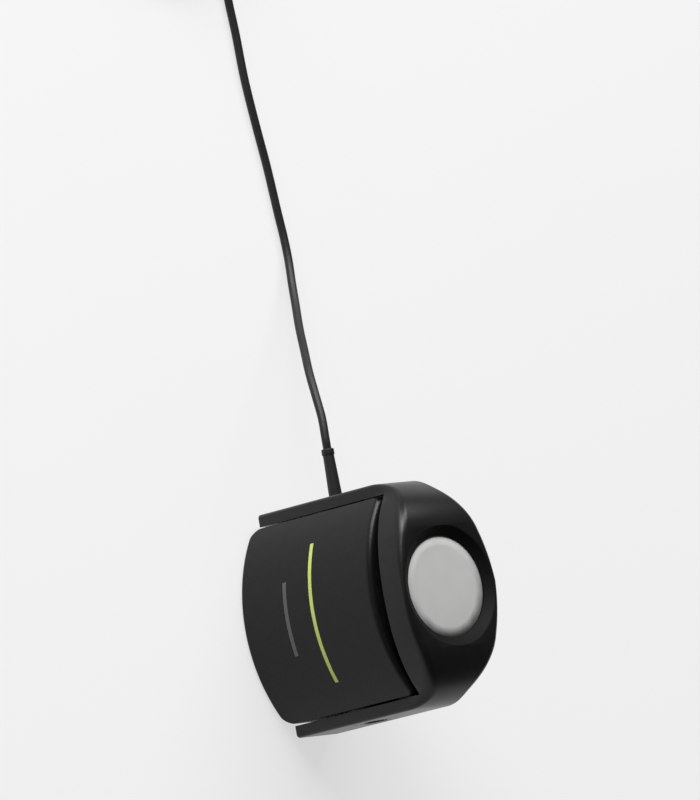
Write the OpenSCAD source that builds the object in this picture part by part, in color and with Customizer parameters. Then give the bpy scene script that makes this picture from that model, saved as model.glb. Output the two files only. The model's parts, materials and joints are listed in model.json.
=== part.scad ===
// Hanging screen colorimeter with a swinging ambient diffuser, millimetres.
// It stands on its measuring end: +Z runs from the lens to the diffuser, the label wall faces -Y,
// and the hinge axis lies along X, with the cord leaving at -X.

/* [Body] */
// Width of the body between the arm's legs
body_w = 56; // [50:0.5:64]
// Depth of the body over its two bulged walls
body_d = 37.8; // [36:0.2:44]
// Height of the body's top above the resting plane
body_h = 54; // [50:0.5:60]
// Radius of the bulged walls, seen from above
bulge_r = 46; // [43:1:60]
// Thickness of the shells
wall = 1.8; // [1.4:0.1:2.4]
// Rounding of the upper lip of the bulged walls
lip_r = 1.8; // [1:0.1:3]
// Rounding of the lower edge of the bulged walls
foot_r = 1; // [0.6:0.1:2]
// Corner rounding at the measuring end, seen from the label side
foot_corner_r = 4.5; // [2:0.5:7]
// Corner rounding at the top, seen from the label side
top_corner_r = 3; // [1:0.5:5]
// Height of the hinge axis
pivot_z = 27; // [26:0.5:30]

/* [Contact pad] */
// How far the pad stands proud of the body
pad_proud = 0.4; // [0.3:0.1:1]
// How deep the pad sits in the body
pad_sunk = 0.4; // [0.2:0.1:0.8]
// Margin between the pad's edge and the body's edge
pad_margin = 4; // [3:0.5:6]
// Radius of the pad's opening for the lens
pad_hole_r = 11.5; // [10.5:0.1:13]

/* [Lens and sensor] */
// Radius of the opening in the measuring end
lens_hole_r = 9; // [8:0.1:9.6]
// Outer radius of the wide part of the lens barrel
barrel_r = 10.5; // [10:0.1:11.5]
// Height of the barrel's wide part
barrel_wide_h = 6.6; // [5.5:0.1:8]
// Outer radius of the narrow part of the lens barrel
barrel_neck_r = 8.2; // [8:0.1:8.3]
// Radius of the objective lens
lens_r = 8.5; // [8:0.1:8.9]
// Edge thickness of the objective lens
lens_edge = 2; // [1.5:0.1:2.4]
// Bulge of the objective lens
lens_bulge = 1.1; // [0.5:0.1:1.4]
// Height of the lens seat above the inner floor
lens_seat_h = 4.6; // [4.4:0.1:5]
// Thickness of the ring that holds the lens
retainer_t = 1.4; // [1:0.1:1.8]
// Width of that ring
retainer_w = 1.1; // [0.8:0.1:1.4]
// Radius of the barrel behind the lens
baffle_bore_r = 7.2; // [6.8:0.1:7.4]
// Radius of the aperture in the baffle
aperture_r = 3; // [2:0.1:4]
// Thickness of the baffle
baffle_t = 1; // [0.8:0.1:1.4]
// Height of the baffle's seat above the lens seat
baffle_rise = 6; // [4:0.5:7]
// Radius of the light shaft between baffle and filter
shaft_r = 4.5; // [3.5:0.1:5]
// Length of the light shaft
shaft_l = 4; // [3:0.1:4.5]
// Radius of the filter plate
filter_r = 5.95; // [5.5:0.05:6.4]
// Thickness of the filter plate
filter_t = 1.2; // [0.8:0.1:1.6]
// Height of the sensor board's underside
board_z = 22; // [21.6:0.1:22.6]
// Length of the sensor board
board_l = 44; // [40:1:46]
// Gap between the sensor board's corners and the shells
board_margin = 0.6; // [0.4:0.1:1.5]
// Thickness of the sensor board
board_t = 1.6; // [1.2:0.1:1.8]
// Side of the sensor chip
chip_side = 5; // [4:0.5:6]
// Thickness of the chips
chip_t = 1.2; // [0.8:0.1:1.4]
// Side of the controller chip
controller_side = 8; // [6:0.5:9]
// Length of the barrel's carrying bar under the board
bar_l = 33; // [31:0.5:36]
// Width of that bar
bar_w = 7; // [5:0.5:8]
// Thickness of that bar
bar_t = 2.5; // [2:0.1:3]
// Distance of each board screw from the middle
board_screw_x = 13.5; // [12:0.1:14]
// Shank radius of the board screws
board_screw_r = 0.8; // [0.6:0.05:1]
// Length of the cable socket
socket_l = 4.5; // [4:0.1:5]
// Width of the cable socket
socket_w = 6; // [4:0.5:8]
// Height of the cable socket
socket_h = 5; // [4.8:0.1:6]
// Distance of the socket's mouth from the middle
socket_x = 21; // [20.5:0.1:21.8]

/* [Light bar] */
// Length of the light bar on the label wall
light_l = 21; // [14:0.5:26]
// Height of the light bar
light_h = 1.5; // [1:0.1:2]
// Height of the light bar's middle above the resting plane
light_z = 18.6; // [18.4:0.1:19.4]
// Depth of the light bar's head into the body
light_deep = 3.4; // [3:0.1:4.5]
// Width of the light bar's stem
light_stem_w = 4; // [3:0.1:6]
// Side of the status lamp
lamp_side = 2.4; // [1.6:0.1:3]
// Depth of the status lamp
lamp_deep = 1.1; // [0.8:0.1:1.2]
// Height of the status lamp
lamp_h = 3.8; // [3.6:0.1:4]
// Gap between the status lamp and the lens barrel
lamp_gap = 0.2; // [0.1:0.05:0.4]

/* [Shell screws] */
// Distance of each shell screw from the middle
screw_x = 21; // [20:0.1:22]
// Height of the lower shell screws
screw_low_z = 11; // [9:0.5:13]
// Height of the upper shell screws
screw_high_z = 45; // [42:0.5:47]
// Radius of the screw bosses
boss_r = 2.6; // [2.3:0.1:3]
// Radius of the screw shanks
screw_r = 0.9; // [0.8:0.05:1]
// Radius of the screw heads
screw_head_r = 1.8; // [1.6:0.1:2]
// Height of the screw heads
screw_head_h = 1.6; // [1.2:0.1:2]
// Depth of the screw heads below the wall
screw_sunk = 2; // [1.5:0.1:3]
// Length of the screw in the label shell
screw_grip = 6; // [4:0.5:8]

/* [Arm] */
// Width over the arm's two legs
arm_w = 64; // [60:0.5:72]
// Rise of the arm's top above the end of the body that lies farther from the hinge
bridge_rise = 12; // [11:0.1:18]
// Width of each leg
leg_w = 16; // [14:0.5:18]
// Height of the legs' lower ends
leg_low = 2.5; // [1.5:0.1:5]
// Rounding of the arm's shoulders
shoulder_r = 17; // [14:0.5:18]
// Edge rounding at the middle of the bridge
bridge_edge_r = 0.9; // [0.6:0.1:1.4]
// Edge rounding of the shoulders
shoulder_edge_r = 2.4; // [1.2:0.1:3.4]
// Edge rounding of the legs
leg_edge_r = 1; // [0.5:0.1:1.4]
// Depth of the bridge at its two long sides
bridge_deep = 11.5; // [11:0.1:12]
// How far the bridge stands in from the body's bulged walls
plan_inset = 0.8; // [0.6:0.1:1.2]
// Softness of the turn from the bridge's bulge into the legs
plan_blend = 1.2; // [0.6:0.1:2]
// Room between the body and the arm's underside as it swings
swing_gap = 0.6; // [0.5:0.1:1.2]
// More of that room at the middle of the bridge
swing_rise = 0.9; // [0.5:0.1:2.4]
// Side gap between the body and each leg
leg_gap = 0.5; // [0.4:0.05:0.8]

/* [Diffuser] */
// Radius of the well's rim
rim_r = 17.2; // [16.5:0.1:17.4]
// Depth of the well
well_deep = 1.9; // [1.4:0.1:2.4]
// Visible radius of the diffuser disc
disc_r = 14.4; // [13:0.1:14.6]
// Width of the disc's hidden flange
disc_flange = 1; // [0.8:0.1:1.4]
// Thickness of the lip that holds the disc
disc_lip_t = 0.8; // [0.6:0.1:1.2]
// Thickness of the disc's flange
disc_t = 1.2; // [1:0.1:1.6]
// Rise of the disc's crown
disc_crown = 0.35; // [0.1:0.05:0.8]
// Thickness of the disc's retainer
disc_retainer_t = 1.2; // [1:0.1:1.4]
// Radius of the light hole behind the disc
light_hole_r = 12.5; // [11:0.1:13]

/* [Hinge] */
// Radius of the two trunnions
trunnion_r = 6; // [5.6:0.1:6.6]
// Radius of the trunnions' inner flanges
trunnion_flange_r = 7; // [6.8:0.1:7]
// Thickness of the trunnions' inner flanges
trunnion_flange_t = 1.6; // [1.2:0.1:2]
// Radius of the cable's way through its trunnion
cable_bore_r = 2; // [1.9:0.05:2.4]
// Outer radius of the threaded tripod insert
insert_r = 4.5; // [4.2:0.1:4.8]
// Radius of the tripod thread
tripod_r = 3.175; // [3.1:0.025:3.3]
// Thickness of the closed end behind the insert
insert_floor = 1; // [0.8:0.1:1.4]
// Width of the hinge washers
washer_w = 1.6; // [1:0.1:1.9]
// Thickness of the hinge washers
washer_t = 0.4; // [0.2:0.05:0.4]
// Radius of the position magnet
magnet_r = 1.5; // [1:0.1:2]
// Thickness of the position magnet
magnet_t = 2; // [1:0.1:2.4]
// Distance of the magnet from the hinge axis
magnet_rise = 14; // [10:0.5:18]
// Length of the position sensor
sensor_l = 3; // [2:0.1:4]
// Width of the position sensor
sensor_w = 1.8; // [1:0.1:2]

/* [Cord] */
// Diameter of the cord
cord_d = 2.4; // [2.2:0.1:2.6]
// Length of the strain relief outside the arm
relief_l = 14; // [12:0.5:16]
// Radius of the strain relief at its root
relief_root_r = 1.9; // [1.7:0.05:2.2]
// Radius of the strain relief at its neck
relief_neck_r = 1.6; // [1.4:0.05:1.8]
// Radius of the collar at the strain relief's tip
relief_collar_r = 1.8; // [1.6:0.05:2]
// Length of the collar
relief_collar_l = 1.8; // [1:0.1:3]
// Depth of the strain relief's spigot in the trunnion
relief_spigot = 3; // [2:0.1:4]
// Loops in the put-away coil
coil_loops = 17; // [13:4:17]
// Layers in the put-away coil
coil_layers = 4; // [2:2:4]
// Distance between neighbouring turns of the coil
coil_pitch = 2.85; // [2.85:0.05:3.2]
// Height of the coil's lowest turn above the resting plane
coil_lift = 1.1; // [1:0.05:1.4]
// Thickness of the tie round the coil
tie_t = 0.8; // [0.5:0.1:0.9]
// Width of the tie
tie_w = 5; // [3:0.5:6]

/* [Counterweight] */
// Length of the counterweight along the cord
weight_l = 30; // [28:1:36]
// Radius of the counterweight
weight_r = 8; // [7.8:0.1:8.6]
// Rounding of the counterweight's ends
weight_end_r = 3.8; // [2:0.1:4]
// Radius of the cord's way through the counterweight
weight_bore_r = 1.5; // [1.45:0.05:1.8]
// Radius of the steel slugs
slug_r = 6.2; // [5.6:0.1:6.4]
// Length of each steel slug
slug_l = 8; // [6:0.5:9]
// Distance from the middle to each slug's near end
slug_y = 4.5; // [4.2:0.1:5]
// Radius of the push button
button_r = 3.2; // [2.8:0.1:3.4]
// How far the button stands out
button_proud = 1.8; // [1.6:0.1:2.4]
// How far the button travels
button_travel = 1.5; // [1:0.1:1.5]
// Height of the button spring
spring_h = 3.4; // [3:0.1:4]
// Mean radius of the button spring
spring_r = 2.2; // [1.8:0.1:2.4]
// Wire diameter of the button spring
spring_wire = 0.5; // [0.4:0.05:0.6]
// Curls of the button spring
spring_curls = 4; // [3:1:5]

/* [Plug] */
// Length of the plug's grip
grip_l = 20; // [16:0.5:24]
// Width of the plug's grip
grip_w = 11; // [10:0.5:12]
// Height of the plug's grip
grip_h = 6; // [5.4:0.1:6.4]
// Corner radius of the plug's grip
grip_corner_r = 2.4; // [1:0.1:2.6]
// Length of the plug's own strain relief
plug_relief_l = 8; // [6:0.5:10]
// Length of the metal shell
shell_l = 6.6; // [6:0.1:7]
// Width of the metal shell
shell_w = 8.3; // [8:0.1:8.6]
// Height of the metal shell
shell_h = 2.5; // [2.4:0.1:2.6]
// Thickness of the metal shell
shell_t = 0.3; // [0.2:0.05:0.4]

/* [Fits] */
// Radial clearance of the arm on its trunnions
hinge_fit = 0.05; // [0.02:0.01:0.1]
// Radial clearance of parts that sit still
seat_fit = 0.05; // [0.02:0.01:0.1]
// Clearance of the push button and the slugs in their shells
slide_fit = 0.1; // [0.05:0.01:0.15]

/* [Hidden] */
$fn = 96;

// Longer than anything that a cut has to pass through
through = 200;
// Sinks a cut past the face it opens
past = 1;

body_x = body_w / 2;
body_y = body_d / 2;
body_low = pad_proud;
bulge_y = bulge_r - body_y;
inner_x = body_x - wall;
floor_z = body_low + wall;
leg_in = body_x + leg_gap;
arm_x = arm_w / 2;
leg_half = leg_w / 2;
leg_t = arm_x - leg_in;

lens_top = floor_z + lens_seat_h;
lens_low = lens_top - lens_edge;
baffle_top = lens_top + baffle_rise;
filter_low = baffle_top + shaft_l;
board_top = board_z + board_t;
board_w = 2 * (sqrt(pow(bulge_r - wall, 2) - pow(board_l / 2, 2)) - bulge_y - board_margin);
lamp_y = -(barrel_neck_r + lamp_gap + lamp_deep);

// The arm's top swings past either end of the body
arm_top = pivot_z + max(body_h - pivot_z, pivot_z) + bridge_rise;
well_z = arm_top - well_deep;
disc_out = disc_r + disc_flange;
disc_seat = well_z - disc_lip_t;
disc_low = disc_seat - disc_t;

cord_r = cord_d / 2;
cord_z = cord_r + 0.05;
relief_tip = -(arm_x + relief_l);

// Depth of the bulged wall at a place across the body
function bulge_at(x) = sqrt(bulge_r * bulge_r - x * x) - bulge_y;

// The free stretch from the strain relief to the coil, chosen by hand
cord_route = [
    [-46, 0, 27], [-49, 0, 27], [-55, 1, 26], [-62, 2.5, 23.5], [-69, 5, 20], [-76, 9, 15.5], [-83, 13, 11],
    [-90, 17, 7], [-97, 20, 4], [-104, 22, 2.2], [-111, 22.5, 1.4], [-118, 22, 1.25], [-131, 21, 1.25],
    [-144, 19.5, 1.25], [-157, 18.3, 1.25], [-170, 18, 1.25], [-182, 17.3, 1.4], [-202, 17, 2],
    [-210, 17, 2.3],
    [-214, 17, 2.3]
];
// The stretch from the coil through the counterweight to the plug, chosen by hand
tail_route = [
    [-218.8, 17, 10.85], [-221.4, 17, 10.85], [-227, 18, 10.8], [-233, 20.5, 10.4], [-239, 23.4, 9.7],
    [-244.5, 23.2, 8.8], [-248.4, 19.4, 8], [-250, 14.5, 7.5], [-250, 10, 7.5], [-250, -3.4, 7.5],
    [-250, -17, 7.5],
    [-250, -21.5, 7.5], [-249, -26, 7], [-246.2, -30.6, 6], [-241.8, -33.8, 4.7], [-236.5, -35, 3.5],
    [-232.5, -35, 3.1], [-230, -35, 3.1]
];
// Straight length at each end of the coil
coil_lead = cord_d;
coil_x = -216.4;
coil_out = 20.4;
coil_y = 17 - coil_out;
coil_low = cord_r + coil_lift;
coil_top = coil_low + (coil_layers - 1) * coil_pitch;
coil_in = coil_out - coil_loops / coil_layers * coil_pitch;
tie_angle = 300;

weight_at = [-250, -3.4, 7.5];
plug_at = [-230, -35, 3.1];

// Positions along the coil, counted in turns from its start
function coil_layer(t) = min(floor(t / (coil_loops / coil_layers)), coil_layers - 1);
function coil_phase(t) = t - coil_layer(t) * coil_loops / coil_layers;
function coil_radius(t) = coil_layer(t) % 2 == 0
    ? coil_out - coil_phase(t) * coil_pitch
    : coil_in + coil_phase(t) * coil_pitch;
// Climbs one layer in the half turn about each reversal
function coil_rise(t) = coil_pitch * sum([
    for (k = [1 : coil_layers - 1]) min(max((t - k * coil_loops / coil_layers) / 0.5 + 0.5, 0), 1)
]);
function coil_point(t) = [
    coil_x + coil_radius(t) * cos(90 + 360 * t),
    coil_y + coil_radius(t) * sin(90 + 360 * t),
    coil_low + coil_rise(t)
];
function sum(v, i = 0) = i >= len(v) ? 0 : v[i] + sum(v, i + 1);
rings_per_loop = 24;
coil_rings = coil_loops * rings_per_loop;
coil_points = concat(
    [[coil_x + coil_lead, coil_y + coil_out, coil_low]],
    [for (i = [0 : coil_rings]) coil_point(i / rings_per_loop)],
    [[coil_x - coil_lead, coil_y + coil_out, coil_top]]
);
// Least distance between places on the coil that are over half a turn apart, less the cord
coil_gap = min([
    for (i = [0 : 2 : coil_rings], j = [i + 16 : 1 : min(i + 32, coil_rings)])
        norm(coil_points[i] - coil_points[j])
]) - cord_d;
echo(coil_gap = coil_gap);

// A tube swept along points: each ring stands square to the path, turned as little as possible
function unit(v) = v / norm(v);
function heading(p, i) = unit(p[min(i + 1, len(p) - 1)] - p[max(i - 1, 0)]);
function square_to(v, t) = unit(v - (v * t) * t);
function frames(p, v, i = 0) = i >= len(p) ? [] :
    let (u = square_to(v, heading(p, i))) concat([u], frames(p, u, i + 1));
module tube(points, r, sides, first) {
    across = frames(points, first);
    n = len(points);
    verts = [
        for (i = [0 : n - 1], k = [0 : sides - 1])
            let (a = 360 * k / sides, t = heading(points, i), u = across[i])
            points[i] + r * (cos(a) * u + sin(a) * cross(t, u))
    ];
    walls = [
        for (i = [0 : n - 2], k = [0 : sides - 1])
            let (a = i * sides + k, b = i * sides + (k + 1) % sides)
            each [[a, b + sides, b], [a, a + sides, b + sides]]
    ];
    start = [for (k = [1 : sides - 2]) [0, k, k + 1]];
    last = (n - 1) * sides;
    end = [for (k = [1 : sides - 2]) [last, last + k + 1, last + k]];
    polyhedron(verts, concat(walls, start, end));
}

module along_x() rotate([0, 90, 0]) children();
module along_y() rotate([-90, 0, 0]) children();

// One bulged side of the body: a wide disc with a rounded rim
module bulged_disc(r, low, high, foot, lip) {
    rotate_extrude() {
        translate([0, low]) square([r - max(foot, lip), high - low]);
        translate([0, low + foot]) square([r, high - low - foot - lip]);
        translate([0, low]) square([r - foot, foot]);
        translate([r - foot, low + foot]) circle(foot);
        translate([r - lip, high - lip]) circle(lip);
    }
}

module body_outline() {
    translate([-body_x, body_low + foot_corner_r])
        square([body_w, body_h - body_low - foot_corner_r - top_corner_r]);
    translate([-body_x + foot_corner_r, body_low]) square([body_w - 2 * foot_corner_r, foot_corner_r]);
    translate([-body_x + top_corner_r, body_h - top_corner_r])
        square([body_w - 2 * top_corner_r, top_corner_r]);
    for (s = [-1, 1]) {
        translate([s * (body_x - foot_corner_r), body_low + foot_corner_r]) circle(foot_corner_r);
        translate([s * (body_x - top_corner_r), body_h - top_corner_r]) circle(top_corner_r);
    }
}

module body_form() {
    intersection() {
        translate([0, bulge_y, 0]) bulged_disc(bulge_r, body_low, body_h, foot_r, lip_r);
        translate([0, -bulge_y, 0]) bulged_disc(bulge_r, body_low, body_h, foot_r, lip_r);
        rotate([90, 0, 0]) linear_extrude(body_d, center = true) body_outline();
    }
}

module body_cavity() {
    intersection() {
        translate([0, bulge_y, floor_z]) cylinder(r = bulge_r - wall, h = body_h - wall - floor_z);
        translate([0, -bulge_y, floor_z]) cylinder(r = bulge_r - wall, h = body_h - wall - floor_z);
        translate([-inner_x, -body_y, floor_z]) cube([2 * inner_x, body_d, body_h - wall - floor_z]);
    }
}

module screw_places() {
    for (sx = [-1, 1], z = [screw_low_z, screw_high_z]) translate([sx * screw_x, 0, z]) children();
}

// The pad's outline: the body's plan drawn in by the margin
module pad_form(grow) {
    intersection() {
        translate([0, bulge_y]) circle(bulge_r - pad_margin + grow);
        translate([0, -bulge_y]) circle(bulge_r - pad_margin + grow);
        square([body_w - 2 * (foot_corner_r + pad_margin / 2) + 2 * grow, body_d], center = true);
    }
}

// Half of the body on one side of the seam, side -1 towards the label
module half_shell(side) {
    wall_y = bulge_at(screw_x);
    difference() {
        union() {
            difference() {
                body_form();
                body_cavity();
            }
            intersection() {
                screw_places() rotate([-90 * side, 0, 0]) cylinder(r = boss_r, h = body_d);
                body_form();
            }
        }
        translate([-through / 2, side > 0 ? -through : 0, -through / 2]) cube(through);
        translate([0, 0, -past]) cylinder(r = lens_hole_r, h = floor_z + 2 * past);
        translate([0, 0, body_low - past]) linear_extrude(pad_sunk + past) pad_form(seat_fit);
        translate([-through / 2, 0, pivot_z]) along_x() cylinder(r = trunnion_r + seat_fit, h = through);
        children();
    }
}

module label_shell() {
    color("#2a2a2b") half_shell(-1) {
        screw_places() translate([0, -screw_grip - past, 0]) along_y()
            cylinder(r = screw_r + seat_fit, h = through);
        translate([-light_l / 2 - seat_fit, -through, light_z - light_h / 2 - seat_fit])
            cube([light_l + 2 * seat_fit, through - body_y + light_deep + past, light_h + 2 * seat_fit]);
    }
}

module rear_shell() {
    head_y = bulge_at(screw_x) - screw_sunk - screw_head_h;
    color("#2a2a2b") half_shell(1) {
        screw_places() translate([0, -past, 0]) along_y() cylinder(r = screw_r + seat_fit, h = through);
        screw_places() translate([0, head_y, 0]) along_y()
            cylinder(r = screw_head_r + slide_fit, h = through);
    }
}

module contact_pad() {
    color("#1b1b1c") difference() {
        linear_extrude(pad_proud + pad_sunk) pad_form(0);
        translate([0, 0, -past]) cylinder(r = pad_hole_r, h = pad_proud + pad_sunk + 2 * past);
    }
}

module lens_barrel() {
    color("#202021") difference() {
        union() {
            translate([0, 0, floor_z]) cylinder(r = barrel_r, h = barrel_wide_h);
            translate([0, 0, floor_z]) cylinder(r = barrel_neck_r, h = board_z - floor_z);
            translate([-bar_l / 2, -bar_w / 2, board_z - bar_t]) cube([bar_l, bar_w, bar_t]);
        }
        translate([0, 0, floor_z - past]) cylinder(r = lens_r + seat_fit, h = lens_top - floor_z + past);
        translate([0, 0, lens_top - past]) cylinder(r = baffle_bore_r, h = baffle_rise + past);
        translate([0, 0, baffle_top - past]) cylinder(r = shaft_r, h = shaft_l + 2 * past);
        translate([0, 0, filter_low]) cylinder(r = filter_r + seat_fit, h = board_z - filter_low + past);
        for (s = [-1, 1]) translate([s * board_screw_x, 0, board_z - bar_t - past])
            cylinder(r = board_screw_r + seat_fit, h = bar_t + 2 * past);
    }
}

// Flat above, bulged towards what it measures
lens_sphere_r = (lens_r * lens_r + lens_bulge * lens_bulge) / (2 * lens_bulge);
retainer_in = lens_r - retainer_w;
retainer_top = lens_low - lens_bulge + lens_sphere_r - seat_fit
    - sqrt(pow(lens_sphere_r, 2) - pow(retainer_in, 2));
module objective_lens() {
    color([0.75, 0.85, 0.9, 0.5]) intersection() {
        translate([0, 0, lens_low - lens_bulge]) cylinder(r = lens_r, h = lens_edge + lens_bulge);
        translate([0, 0, lens_low - lens_bulge + lens_sphere_r]) sphere(lens_sphere_r);
    }
}

module lens_retainer() {
    color("#2b2b2c") translate([0, 0, retainer_top - retainer_t]) difference() {
        cylinder(r = lens_r, h = retainer_t);
        translate([0, 0, -past]) cylinder(r = retainer_in, h = retainer_t + 2 * past);
    }
}

module aperture_baffle() {
    color("#161617") translate([0, 0, baffle_top - baffle_t]) difference() {
        cylinder(r = baffle_bore_r - seat_fit, h = baffle_t);
        translate([0, 0, -past]) cylinder(r = aperture_r, h = baffle_t + 2 * past);
    }
}

module filter_plate() {
    color("#4d6f5c") translate([0, 0, filter_low]) cylinder(r = filter_r, h = filter_t);
}

module sensor_chip() {
    color("#18181a") translate([-chip_side / 2, -chip_side / 2, board_z - chip_t])
        cube([chip_side, chip_side, chip_t]);
}

module sensor_board() {
    color("#1f5a34") difference() {
        translate([-board_l / 2, -board_w / 2, board_z]) cube([board_l, board_w, board_t]);
        for (s = [-1, 1]) translate([s * board_screw_x, 0, board_z - past])
            cylinder(r = board_screw_r + slide_fit, h = board_t + 2 * past);
    }
}

module board_screws() {
    color("#b4b4b8") for (s = [-1, 1]) translate([s * board_screw_x, 0, board_z - bar_t]) {
        cylinder(r = board_screw_r, h = bar_t + board_t);
        translate([0, 0, bar_t + board_t]) cylinder(r = 2 * board_screw_r, h = board_screw_r);
    }
}

module controller_chip() {
    color("#18181a") translate([-controller_side / 2, -controller_side / 2, board_top])
        cube([controller_side, controller_side, chip_t]);
}

module position_sensor() {
    color("#18181a") translate([board_l / 2 - sensor_l, -sensor_w / 2, board_top])
        cube([sensor_l, sensor_w, chip_t]);
}

module cable_socket() {
    color("#e8e4d8") difference() {
        translate([-socket_x, -socket_w / 2, board_top]) cube([socket_l, socket_w, socket_h]);
        translate([-socket_x - past, 0, pivot_z]) along_x()
            cylinder(r = cord_r + seat_fit, h = socket_l / 2 + past);
    }
}

module inner_lead() {
    start = -(arm_x - relief_spigot);
    color("#1d1d1e") translate([start, 0, pivot_z]) along_x()
        cylinder(r = cord_r, h = -socket_x + socket_l / 2 - start);
}

module status_lamp() {
    color("#f0f0e0") translate([-lamp_side / 2, lamp_y, board_z - lamp_h])
        cube([lamp_side, lamp_deep, lamp_h]);
}

// Its face follows the bulged wall, and a stem leads in from the lamp
module light_bar() {
    head_y = -body_y + light_deep;
    color("#8e8e90") {
        intersection() {
            body_form();
            translate([-light_l / 2, -body_y - past, light_z - light_h / 2])
                cube([light_l, light_deep + past, light_h]);
        }
        translate([-light_stem_w / 2, head_y, light_z - light_h / 2])
            cube([light_stem_w, lamp_y - head_y, light_h]);
    }
}

module shell_screws() {
    head_y = bulge_at(screw_x) - screw_sunk - screw_head_h;
    color("#9a9a9e") screw_places() {
        translate([0, -screw_grip, 0]) along_y() cylinder(r = screw_r, h = head_y + screw_grip);
        translate([0, head_y, 0]) along_y() cylinder(r = screw_head_r, h = screw_head_h);
    }
}

// A pivot pin with an inner flange that the two shells trap, side -1 at the cord
module trunnion_form(side) {
    translate([0, 0, pivot_z]) mirror([side < 0 ? 1 : 0, 0, 0]) {
        translate([inner_x, 0, 0]) along_x() cylinder(r = trunnion_r, h = arm_x - inner_x);
        translate([inner_x - trunnion_flange_t, 0, 0]) along_x()
            cylinder(r = trunnion_flange_r, h = trunnion_flange_t);
    }
}

module cable_trunnion() {
    color("#29292a") difference() {
        trunnion_form(-1);
        translate([-through / 2, 0, pivot_z]) along_x() cylinder(r = cable_bore_r, h = through);
    }
}

module tripod_trunnion() {
    color("#29292a") difference() {
        trunnion_form(1);
        translate([inner_x - trunnion_flange_t + insert_floor, 0, pivot_z])
            along_x() cylinder(r = insert_r + seat_fit, h = through);
    }
}

module tripod_insert() {
    start = inner_x - trunnion_flange_t + insert_floor;
    color("#2c2c2e") translate([start, 0, pivot_z]) along_x() difference() {
        cylinder(r = insert_r, h = arm_x - start);
        translate([0, 0, -past]) cylinder(r = tripod_r, h = arm_x - start + 2 * past);
    }
}

module hinge_washers() {
    color("#232324") for (s = [-1, 1])
        translate([s * (body_x + leg_gap / 2), 0, pivot_z]) along_x() difference() {
        cylinder(r = trunnion_r + hinge_fit + washer_w, h = washer_t, center = true);
        cylinder(r = trunnion_r + hinge_fit, h = washer_t + 2 * past, center = true);
    }
}

// Stations along the arm's outer line: place, outward direction, half widths out and in, depth, edge rounding
shoulder_x = arm_x - shoulder_r;
shoulder_z = arm_top - shoulder_r;
function arm_half(x) =
    let (over = bulge_at(x) - plan_inset - leg_half)
    leg_half + (over + norm([over, plan_blend])) / 2;
function crown_edge_r(x) =
    bridge_edge_r + (shoulder_edge_r - bridge_edge_r) * min(1, abs(x) / shoulder_x);
function arm_station(x, z, ux, uz, f) =
    let (deep = leg_t + past * (1 - f) + (bridge_deep - leg_t) * f)
    [
        x, z, ux, uz,
        arm_half(x),
        arm_half(x) * (1 - f) + arm_half(x - deep * ux) * f,
        deep,
        leg_edge_r * (1 - f) + crown_edge_r(x) * f
    ];
function shoulder_station(a) = arm_station(
    shoulder_x + shoulder_r * cos(a), shoulder_z + shoulder_r * sin(a), cos(a), sin(a), min(1, a / 45)
);
arm_half_line = concat(
    [for (z = [leg_low, pivot_z]) arm_station(arm_x, z, 1, 0, 0)],
    [for (a = [0 : 7.5 : 90]) shoulder_station(a)],
    [for (i = [5 : -1 : 0]) arm_station(shoulder_x * i / 6, arm_top, 0, 1, 1)]
);
arm_line = concat(
    arm_half_line,
    [for (i = [len(arm_half_line) - 2 : -1 : 0])
        let (s = arm_half_line[i]) [-s[0], s[1], -s[2], s[3], s[4], s[5], s[6], s[7]]]
);
// One rounded section of the arm: places across it and inward from its outer line
inner_edge_r = leg_edge_r / 2;
function arm_corner(y, z, r, turn) = [
    for (k = [0 : 4]) let (a = turn + 22.5 * k) [y + r * cos(a), z - r * sin(a)]
];
function arm_section(w, inner_w, d, r) = concat(
    arm_corner(w - r, r, r, 0),
    arm_corner(r - w, r, r, 90),
    arm_corner(inner_edge_r - inner_w, d - inner_edge_r, inner_edge_r, 180),
    arm_corner(inner_w - inner_edge_r, d - inner_edge_r, inner_edge_r, 270)
);
module arm_form() {
    n = 20;
    verts = [
        for (s = arm_line, p = arm_section(s[4], s[5], s[6], s[7]))
            [s[0] - p[1] * s[2], p[0], s[1] - p[1] * s[3]]
    ];
    last = (len(arm_line) - 1) * n;
    walls = [
        for (i = [0 : len(arm_line) - 2], k = [0 : n - 1])
            let (a = i * n + k, b = i * n + (k + 1) % n)
            each [[a, b, b + n], [a, b + n, a + n]]
    ];
    start = [for (k = [1 : n - 2]) [0, k + 1, k]];
    end = [for (k = [1 : n - 2]) [last, last + k, last + k + 1]];
    polyhedron(verts, concat(walls, start, end));
}

// How far the body reaches from the hinge axis, and the room that the arm leaves it
function body_reach(x) = max(
    norm([bulge_at(x) - lip_r, body_h - lip_r - pivot_z]) + lip_r,
    norm([bulge_at(x) - foot_r, pivot_z - body_low - foot_r]) + foot_r
);
function swing_room(x) =
    body_reach(min(x, body_x)) + swing_gap + swing_rise * pow(cos(90 * x / leg_in), 2);
swing_steps = concat([for (i = [0 : 5]) body_x * i / 6], [leg_in]);

// The space that the body needs inside the arm, a figure of revolution about the hinge axis
module arm_sweep() {
    translate([0, 0, pivot_z]) along_x() rotate_extrude() polygon(concat(
        [[0, -leg_in]],
        [for (i = [6 : -1 : 1]) [swing_room(swing_steps[i]), -swing_steps[i]]],
        [for (i = [0 : 6]) [swing_room(swing_steps[i]), swing_steps[i]]],
        [[0, leg_in]]
    ));
}

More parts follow.
